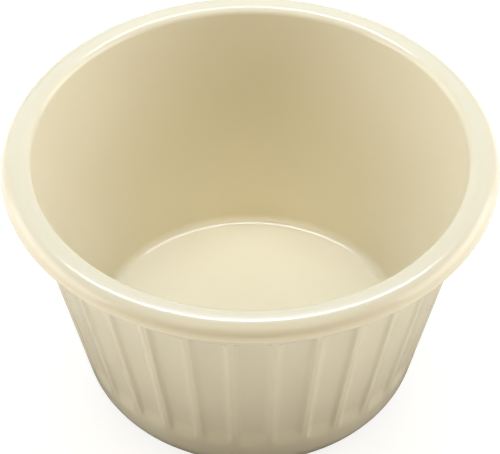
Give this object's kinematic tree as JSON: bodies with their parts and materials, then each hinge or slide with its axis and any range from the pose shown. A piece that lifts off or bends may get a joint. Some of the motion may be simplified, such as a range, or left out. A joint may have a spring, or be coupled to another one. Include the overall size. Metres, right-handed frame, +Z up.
{
  "type": "fluted ramekin",
  "caption": "Small round single-serving dish with a thick rounded rim, a tapered wall fluted on the outside, a rounded heel and a foot ring, moulded in one piece.",
  "frame": {"origin": "centre of the foot ring's flat face, on the plane that the dish stands on", "axes": "+Z up along the dish's axis, out of its mouth; -Y is the side that the picture shows, with a flute centred on it"},
  "size_m": [0.082, 0.082, 0.05],
  "materials": {
    "moulded_cream": "satin"
  },
  "bodies": {
    "root": {"ramekin_dish": "moulded_cream"}
  },
  "joints": []
}
